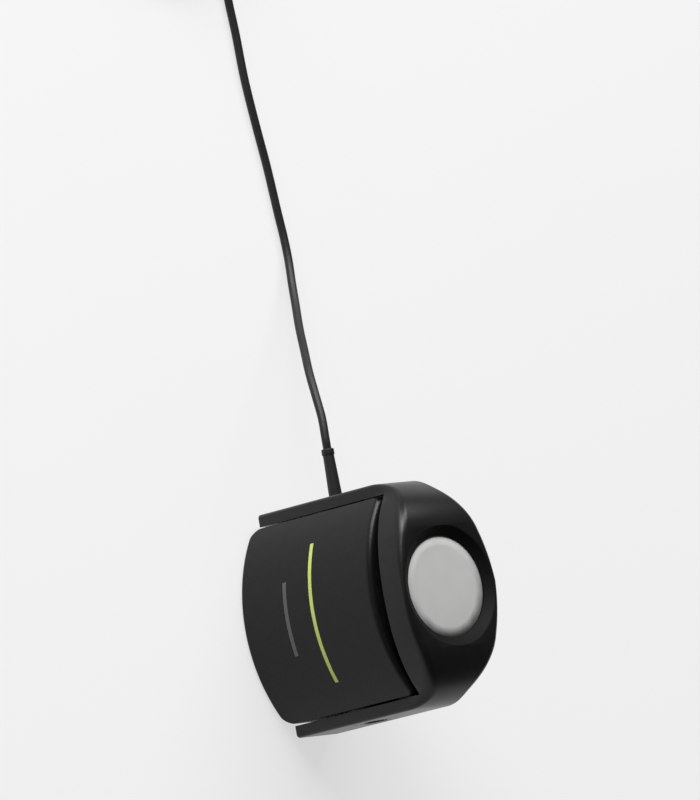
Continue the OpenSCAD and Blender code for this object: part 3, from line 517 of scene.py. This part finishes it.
def arm_rings():
    """Sections across the U: rounded bars whose sides follow the plan, as deep as the leg or the bridge.

    The outer corners are rounder at the shoulders than at the crown, and the inner ones are small all along.
    Near a leg's foot the section draws in by a quarter circle, so that the end is rounded.
    """
    start, height, out_x, out_z, share = np.split(arm_stations(), 5, axis=1)
    deep = (ARM_X - LEG_IN + LEG_SPARE) * (1 - share) + BRIDGE_DEEP * share
    crown = BRIDGE_EDGE + (SHOULDER_EDGE - BRIDGE_EDGE) * np.minimum(1, np.abs(start) / SHOULDER_X)
    edge = LEG_EDGE * (1 - share) + crown * share
    turn = np.radians(np.linspace(0, 90, 9))
    inner = INNER_EDGE + 0 * edge
    wall = edge + (deep - inner - edge) * np.linspace(1, 0, 14)[1:-1]
    inward = np.hstack([deep - inner * (1 - np.sin(turn[::-1])), wall, edge * (1 - np.sin(turn))])
    rounded = np.hstack([inner * (1 - np.cos(turn[::-1])), 0 * wall, edge * (1 - np.cos(turn))])
    across = arm_half(start) * (1 - share) + arm_half(start - inward * out_x) * share - rounded
    short = np.clip(1 - (height - LEG_LOW) / FOOT_ROUND, 0, 1)
    inset = FOOT_ROUND * (1 - np.sqrt(1 - short**2))
    across = across * (1 - inset / LEG_HALF)
    inward = inset + inward * (1 - 2 * inset / deep)
    across = np.hstack([across, -across[:, ::-1]])
    inward = np.hstack([inward, inward[:, ::-1]])
    return np.stack([start - inward * out_x, across, height - inward * out_z], -1)[:, ::-1]


def turned_cutter(name, profile, sides=CUT_SIDES, along="z", lift=0.0):
    """A closed figure of revolution, about Z or about the hinge axis."""
    points, faces = capped_tube(turned_rings(profile, sides))
    if along == "x":
        points = onto_x(points)
    points[:, 2] += lift
    return mesh_piece(name, points, faces)


def make_arm():
    """The U with its cuts.

    The underside is the swing room's own curve about a lower axis, so its long edges stand higher.
    The well's profile climbs from the window and rolls over the rim in an arc.
    """
    flatter = swing_room() + [UNDERSIDE_FLATTER, 0]
    arm = mesh_piece("swing_arm", *capped_tube(arm_rings()))
    brim = RIM_R + RIM_ROUND
    over = [(brim, ARM_TOP + CUT_SKIN), (brim, ARM_TOP + CUT_PAST)]
    well = np.vstack([[(DISC_R, WELL_Z)], arc(RIM_MIDDLE, RIM_ROUND, 150, 90, 7), over])
    pivot, pocket, window = TRUNNION_R + SEAT_GAP, DISC_OUT + SEAT_GAP, DISC_R + SEAT_GAP
    cut(arm, [
        turned_cutter("swing_room", swing_room(), along="x", lift=PIVOT_Z),
        turned_cutter("underside", flatter, along="x", lift=PIVOT_Z - UNDERSIDE_FLATTER),
        turned_cutter("pivot_holes", [(pivot, -HOLE_REACH), (pivot, HOLE_REACH)], HOLE_SIDES, "x", PIVOT_Z),
        turned_cutter("disc_pocket", [(pocket, PIVOT_Z), (pocket, DISC_SEAT)]),
        turned_cutter("disc_window", [(window, PIVOT_Z), (window, WINDOW_TOP)]),
        turned_cutter("well", well),
    ])
    tidy_mesh(arm.data, flat_angle=0.2)
    shaded(arm.data, smooth_angle=32)
    finish_piece(arm, "arm_plastic", "arm", "diffuser_arm")


make_arm()


RING_LIFT, RING_T, RING_FOOT_R = 0.03, 0.1, DISC_R + 0.02
RING_FOOT, RING_HEEL = WELL_Z - 0.34, WELL_Z + 0.05


def make_well_ring():
    """A thin ring of painted shade on the well's slope, darker and duller than the arm: a closed strip of
    its profile, turned about the disc's axis.
    """
    foot = [(RING_FOOT_R, RING_FOOT), (RING_FOOT_R, RING_HEEL)]
    slope = np.vstack([foot, arc(RIM_MIDDLE, RIM_ROUND + RING_LIFT, 152, 112, 6)])
    strip = np.vstack([slope, slope[::-1] + [RING_T, -RING_T], slope[:1]])
    rings = turned_rings(strip, CUT_SIDES)
    ring = mesh_piece("well_ring", rings.reshape(-1, 3), grid_faces(*rings.shape[:2]), smooth_angle=40)
    weld(ring.data)
    # The ring's finish is painted shade: its darker, duller tone stands in for the shade inside the well
    finish_piece(ring, "arm_plastic", "arm", look="well_painted_shade")


make_well_ring()


# Solids that show as they are, with their curved faces smoothed and their edges broken
BROKEN_EDGES = {
    "label_shell": 0.35, "rear_shell": 0.35, "cable_trunnion": 0.25, "tripod_trunnion": 0.25,
    "contact_pad": 0.15, "light_bar": 0.08, "diffuser_disc": 0.0, "plug_relief": 0.0, "plug_shell": 0.06,
    "weight_lower": 0.3, "weight_upper": 0.3,
}
BULGED = {"label_shell": BULGE_Y, "rear_shell": -BULGE_Y}
on_cord = [NODES["plug_tongue"], NODES["weight_slugs"], NODES["weight_spring"]]
for node, width in BROKEN_EDGES.items():
    shown = copy_of(node, node + "_shown")
    if width:
        soften(shown, width)
    if node in BULGED:
        round_wall(shown, BULGED[node])
    finish_piece(shown, NODE_SLOT[node], NODE_BODY[node], node)
    if node.startswith(("plug", "weight")):
        on_cord.append(shown)


# Metal fastenings: the threaded insert in one leg's pivot, and the four screws of the rear wall
INSERT_X = corners_of("tripod_insert")[0][0]
INSERT_R, INSERT_BREAK, HOLE_R, MOUTH_BREAK = 4.5, 0.2, 3.175, 0.5
THREAD_PITCH, THREAD_DEEP = 1.27, 0.45
INSERT_SIDES, INSERT_ROWS = 96, 81


def make_insert():
    """A ring with a threaded hole: its radius is a triangle wave of the place along it less the turn."""
    long = ARM_X - INSERT_X
    angle = np.arange(INSERT_SIDES) * 2 * math.pi / INSERT_SIDES
    place = np.linspace(long, 0, INSERT_ROWS)[:, None]
    phase = (place / THREAD_PITCH - angle / (2 * math.pi)) % 1
    hole = HOLE_R + THREAD_DEEP * (1 - np.abs(2 * phase - 1))
    hole = np.maximum(hole, HOLE_R + MOUTH_BREAK - (long - place))
    outside = np.repeat([[INSERT_R], [INSERT_R], [INSERT_R - INSERT_BREAK]], INSERT_SIDES, axis=1)
    radius = np.vstack([outside, hole, outside[:1]])
    up = np.vstack([[[0.0], [long - INSERT_BREAK], [long]], place, [[0.0]]])
    up = np.broadcast_to(up, radius.shape)
    rings = np.stack([radius * np.cos(angle), radius * np.sin(angle), up], -1)
    rings = onto_x(rings) + [INSERT_X, 0, PIVOT_Z]
    insert = mesh_piece("threaded_insert", rings.reshape(-1, 3), grid_faces(*rings.shape[:2]))
    weld(insert.data)
    finish_piece(insert, "insert_steel", "housing", "tripod_insert")


make_insert()

SCREW_X, SCREW_Z = 21.0, (11.0, 45.0)
SCREW_TIP, SCREW_TOP = (corner[1] for corner in corners_of("shell_screws"))
SCREW_R, POINT_IN, POINT_L = 0.9, 0.3, 0.6
HEAD_R, HEAD_H, HEAD_ROUND = 1.8, 1.6, 0.4
RECESS_REACH, RECESS_HALF, RECESS_CORE = 1.15, 0.26, 0.3
RECESS_DEEP, RECESS_NARROW, RECESS_PAST, RECESS_FLARE = 1.1, 0.35, 1.0, 1.1


def repeated(points, faces, places):
    """One mesh of several copies, each moved to its place."""
    copies = np.asarray(points)[None] + np.asarray(places, float)[:, None]
    moved = [[int(v) + k * len(points) for v in f] for k in range(len(places)) for f in faces]
    return copies.reshape(-1, 3), moved


def onto_y(points):
    """Turns what was made about Z so that its Z runs along Y."""
    return np.stack([points[..., 0], points[..., 2], -points[..., 1]], -1)


def make_screws():
    """Turned screws with a rounded head, and a cross recess that narrows as it goes down.

    The cross is one arm's three corners, turned by four quarter turns.
    """
    places = [(side * SCREW_X, 0, z) for side in (-1, 1) for z in SCREW_Z]
    under = SCREW_TOP - HEAD_H
    shank = [(SCREW_R - POINT_IN, SCREW_TIP), (SCREW_R, SCREW_TIP + POINT_L), (SCREW_R, under)]
    crown = arc((HEAD_R - HEAD_ROUND, SCREW_TOP - HEAD_ROUND), HEAD_ROUND, 0, 90, 6)
    profile = np.vstack([shank, [(HEAD_R, under)], crown])
    points, faces = capped_tube(turned_rings(profile, sides=40))
    screws = mesh_piece("case_screws", *repeated(onto_y(points), faces, places))
    out = np.array([RECESS_REACH, RECESS_REACH, RECESS_CORE])
    aside = np.array([-RECESS_HALF, RECESS_HALF, RECESS_CORE])
    turn = np.arange(4)[:, None] * math.pi / 2
    c, s = np.cos(turn), np.sin(turn)
    cross = np.stack([c * out - s * aside, s * out + c * aside], -1).reshape(-1, 2)
    rows = np.array([
        (RECESS_NARROW, SCREW_TOP - RECESS_DEEP),
        (1.0, SCREW_TOP + CUT_SKIN),
        (RECESS_FLARE, SCREW_TOP + RECESS_PAST),
    ])
    height = np.broadcast_to(rows[:, None, 1:], (len(rows), len(cross), 1))
    rings = np.concatenate([cross * rows[:, None, :1], height], -1)
    points, faces = capped_tube(rings)
    cut(screws, [mesh_piece("recesses", *repeated(onto_y(points), faces, places))])
    shaded(screws.data, smooth_angle=32)
    finish_piece(screws, "screw_steel", "housing", "shell_screws")


make_screws()


# What sits on the cord: the plug's grip, the strap round the coil, and the button of the weight
grip_low, grip_high = corners_of("plug_grip")
GRIP_L, GRIP_W, GRIP_H = grip_high - grip_low
GRIP_START = np.append(grip_low[:1], (grip_low + grip_high)[1:] / 2)
GRIP_NOSE, NOSE_IN_W, NOSE_IN_H, GRIP_TIP = 4.0, 2.6, 0.9, 0.7
GRIP_CORNER, CORNER_SHARE = 2.4, 0.8


def rounded_bars(along, half_w, half_h, corner, steps=7):
    """A rounded rectangle at each place along X: every corner is a quarter circle, set in by its radius."""
    turn = np.radians(np.repeat(np.arange(4) * 90.0, steps) + np.tile(np.linspace(0, 90, steps), 4))
    side_y = np.repeat([1, -1, -1, 1], steps)
    side_z = np.repeat([1, 1, -1, -1], steps)
    y = side_y * (half_w - corner)[:, None] + corner[:, None] * np.cos(turn)
    z = side_z * (half_h - corner)[:, None] + corner[:, None] * np.sin(turn)
    return np.stack([np.broadcast_to(along[:, None], y.shape), y, z], -1)


def make_plug_grip():
    """The grip narrows to the cord over a quarter ellipse, and a small one rounds its end at the shell."""
    nose = GRIP_NOSE * (1 - np.cos(np.linspace(0, math.pi / 2, 12)))
    tip = GRIP_L - GRIP_TIP * (1 - np.sin(np.linspace(0, math.pi / 2, 7)))
    x = np.concatenate([nose, [GRIP_L / 2], tip])
    at_nose = 1 - np.sqrt(1 - np.clip(1 - x / GRIP_NOSE, 0, 1) ** 2)
    at_tip = 1 - np.sqrt(1 - np.clip(1 - (GRIP_L - x) / GRIP_TIP, 0, 1) ** 2)
    half_w = GRIP_W / 2 - NOSE_IN_W * at_nose - GRIP_TIP * at_tip
    half_h = GRIP_H / 2 - NOSE_IN_H * at_nose - GRIP_TIP * at_tip
    corner = np.minimum(GRIP_CORNER, half_h * CORNER_SHARE)
    rings = rounded_bars(x, half_w, half_h, corner) + GRIP_START
    grip = mesh_piece("plug_hold", *capped_tube(rings), smooth_angle=40)
    return finish_piece(grip, "cord_sheath", "housing", "plug_grip")


TIE_W, TIE_T, TIE_CORNER, TIE_GAP = 5.0, 0.6, 0.2, 0.15
TIE_ANGLE, TIE_STEPS = math.radians(300), 72


def make_tie():
    """A strap pulled tight: in each direction, the farthest turn that it crosses, plus the cord's radius."""
    c, s = math.cos(TIE_ANGLE), math.sin(TIE_ANGLE)
    path = coil_path() - [*COIL_MIDDLE, 0]
    along = path[:, 0] * c + path[:, 1] * s
    aside = path[:, 1] * c - path[:, 0] * s
    crossed = np.flatnonzero((aside[:-1] < 0) & (aside[1:] >= 0) & (along[:-1] > 0))
    turns = np.stack([along[crossed], path[crossed, 2]], -1)
    angle = np.arange(TIE_STEPS + 1) * 2 * math.pi / TIE_STEPS
    outward = np.stack([np.cos(angle), np.sin(angle)], -1)
    inner = turns[(turns @ outward.T).argmax(0)] + (CORD_R + TIE_GAP) * outward
    half_w, half_t, corner = np.array([[TIE_W / 2], [TIE_T / 2], [TIE_CORNER]])
    band = rounded_bars(np.zeros(1), half_w, half_t, corner, steps=4)[0, :, 1:]
    out = inner[:, None] + outward[:, None] * (band[:, 1] + TIE_T / 2)[:, None]
    across = np.broadcast_to(band[:, 0], out.shape[:2])
    x = COIL_MIDDLE[0] + out[..., 0] * c - across * s
    y = COIL_MIDDLE[1] + out[..., 0] * s + across * c
    rings = np.stack([x, y, out[..., 1]], -1)
    strap = mesh_piece("strap", rings.reshape(-1, 3), grid_faces(*rings.shape[:2]), smooth_angle=40)
    weld(strap.data)
    return finish_piece(strap, "cord_sheath", "housing", "coil_tie")


weight_low, weight_high = corners_of("weight_lower")
WEIGHT_MIDDLE = np.append((weight_low + weight_high)[:2] / 2, 0.0)
SEAM_Z = weight_high[2]
button_low, button_high = corners_of("weight_button")
BUTTON_LOW, BUTTON_TOP = button_low[2], button_high[2]
BUTTON_R, BUTTON_ROUND, SLOT_R, SLOT_RISE, SLOT_REACH = 3.2, 0.7, 1.5, 1.5, 8.0


def make_button():
    """A turned plunger with a rounded rim, and a slot for the cord.

    The slot is a circle drawn out upwards by the button's travel, and runs through along Y.
    """
    rim = arc((BUTTON_R - BUTTON_ROUND, BUTTON_TOP - BUTTON_ROUND), BUTTON_ROUND, 0, 90, 7)
    points, faces = capped_tube(turned_rings(np.vstack([[(BUTTON_R, BUTTON_LOW)], rim]), sides=64))
    button = mesh_piece("lock_plunger", points + WEIGHT_MIDDLE, faces)
    upper = arc((0, SEAM_Z + SLOT_RISE), SLOT_R, 0, 180, 17)
    lower = arc((0, SEAM_Z), SLOT_R, 180, 360, 17)
    ends = np.array([[SLOT_REACH], [-SLOT_REACH]])
    x, z, y = np.broadcast_arrays(*np.vstack([upper, lower]).T, ends)
    points, faces = capped_tube(np.stack([x, y, z], -1) + WEIGHT_MIDDLE)
    cut(button, [mesh_piece("cord_slot", points, faces)])
    shaded(button.data, smooth_angle=32)
    return finish_piece(button, "button_plastic", "lock_button", "weight_button")


on_cord += [make_plug_grip(), make_tie(), make_button()]


# Printed marks are left plain: one lime line, laid on the bulged wall
LIME_X, LIME_Z, LIME_SKIN = (-19.5, 20.0), (28.6, 29.9), 0.03


def make_lime_line():
    """A thin skin on the label wall: the wall's circle over a stretch of its width, between two heights."""
    x = np.linspace(*LIME_X, 40)
    wall = -bulge_at(x)
    normal = np.stack([x, wall - BULGE_Y], -1) / BULGE_R
    low, high = LIME_Z
    outline = np.array([(LIME_SKIN, low), (LIME_SKIN, high), (-LIME_SKIN, high), (-LIME_SKIN, low)])
    rings = np.stack([
        x[:, None] + outline[:, 0] * normal[:, 0, None],
        wall[:, None] + outline[:, 0] * normal[:, 1, None],
        np.broadcast_to(outline[:, 1], (len(x), len(outline))),
    ], -1)
    piece = mesh_piece("lime_line", *capped_tube(rings))
    finish_piece(piece, "body_plastic", "housing", look="lime_print")


make_lime_line()


# Strain relief: radius and distance from the leg's face of each point on its sleeve, collar and mouth
RELIEF_SLEEVE = [(1.9, -3.0), (1.9, 0.0), (1.84, 3.0), (1.72, 7.0), (1.63, 10.0)]
RELIEF_COLLAR = [(1.6, 12.2), (1.72, 12.25)]
COLLAR_LOW, COLLAR_HIGH = (1.6, 12.45), (1.5, 13.7)
COLLAR_LOW_ROUND, COLLAR_HIGH_ROUND = 0.2, 0.3
RELIEF_MOUTH = [(1.25, 14.0)]


def make_strain_relief():
    """A tapered sleeve with a rounded collar at its tip, turned about the cord."""
    low = arc(COLLAR_LOW, COLLAR_LOW_ROUND, -60, 0, 4)
    high = arc(COLLAR_HIGH, COLLAR_HIGH_ROUND, 0, 90, 6)
    profile = np.vstack([RELIEF_SLEEVE, RELIEF_COLLAR, low, high, RELIEF_MOUTH])
    points, faces = capped_tube(turned_rings(profile, sides=40))
    points = onto_x(points) * [-1, 1, 1] + [-ARM_X, 0, PIVOT_Z]
    relief = mesh_piece("cord_relief", points, [f[::-1] for f in faces], smooth_angle=40)
    finish_piece(relief, "cord_sheath", "housing", "strain_relief")


make_strain_relief()


# The solids themselves, for those that still show, get the finish of their slots
for node, solid in NODES.items():
    solid.data.materials.clear()
    solid.data.materials.append(FINISH[NODE_SLOT[node]])


# Floor and light, in metres
FLOOR_REACH, FLOOR_TONE, FLOOR_SHARE = 6.0, 0.87, 0.72
SKY_STRENGTH = 0.12
LAMPS = {
    "key": dict(place=(-1.65, 0.15, 1.25), target=(0, 0, 0.03), width=2.4, height=0.6, power=45.0),
    "edge": dict(place=(-1.3, -0.72, 0.68), target=(0, 0, 0.05), width=0.75, height=1.2, power=24.0),
    "fill": dict(place=(-0.2, -2.0, 1.0), target=(0, 0, 0.03), width=1.2, height=1.2, power=1.2),
}


def paper_floor():
    """Pale paper, seen with a share of a steady tone, so that it is even and keeps a light shadow."""
    pale = grey(0.88, 0.9, (1, 1, 1))
    paper = material("floor_paper", pale, rough=0.9, grain=40.0, bump=0.0, specular=0.0)
    tree = paper.node_tree
    rays = tree.nodes.new("ShaderNodeLightPath")
    seen = rays.outputs["Is Camera Ray"]
    for name in ("Is Glossy Ray", "Is Transmission Ray"):
        either = tree.nodes.new("ShaderNodeMath")
        either.operation = "MAXIMUM"
        tree.links.new(seen, either.inputs[0])
        tree.links.new(rays.outputs[name], either.inputs[1])
        seen = either.outputs["Value"]
    part = tree.nodes.new("ShaderNodeMath")
    part.operation = "MULTIPLY"
    part.inputs[1].default_value = FLOOR_SHARE
    tree.links.new(seen, part.inputs[0])
    tone = tree.nodes.new("ShaderNodeEmission")
    tone.inputs["Color"].default_value = (1, 1, 1, 1)
    tone.inputs["Strength"].default_value = FLOOR_TONE
    mixed = tree.nodes.new("ShaderNodeMixShader")
    tree.links.new(part.outputs["Value"], mixed.inputs["Fac"])
    tree.links.new(tree.nodes["Principled BSDF"].outputs["BSDF"], mixed.inputs[1])
    tree.links.new(tone.outputs["Emission"], mixed.inputs[2])
    tree.links.new(mixed.outputs["Shader"], tree.nodes["Material Output"].inputs["Surface"])
    return paper


def make_floor():
    """A level square of paper under the device."""
    mesh = bpy.data.meshes.new("floor")
    square = FLOOR_REACH * np.array([(-1, -1, 0), (1, -1, 0), (1, 1, 0), (-1, 1, 0)])
    mesh.from_pydata(square.tolist(), [], [(0, 1, 2, 3)])
    floor = bpy.data.objects.new("floor", mesh)
    bpy.context.scene.collection.objects.link(floor)
    mesh.materials.append(paper_floor())


def area_light(name, place, target, width, height, power):
    """A rectangular lamp that faces a point."""
    data = bpy.data.lights.new(name, "AREA")
    data.shape = "RECTANGLE"
    data.size = width
    data.size_y = height
    data.energy = power
    lamp = bpy.data.objects.new(name, data)
    lamp.location = place
    lamp.rotation_euler = (Vector(target) - Vector(place)).to_track_quat("-Z", "Y").to_euler()
    bpy.context.scene.collection.objects.link(lamp)


def make_sky():
    """A faint even light from everywhere."""
    world = bpy.data.worlds.new("studio")
    bpy.context.scene.world = world
    world.use_nodes = True
    sky = world.node_tree.nodes["Background"]
    sky.inputs["Color"].default_value = (1, 1, 1, 1)
    sky.inputs["Strength"].default_value = SKY_STRENGTH


make_floor()
for name, lamp in LAMPS.items():
    area_light(name, **lamp)
make_sky()
bpy.context.scene.view_settings.view_transform = "Standard"

bpy.context.view_layer.update()
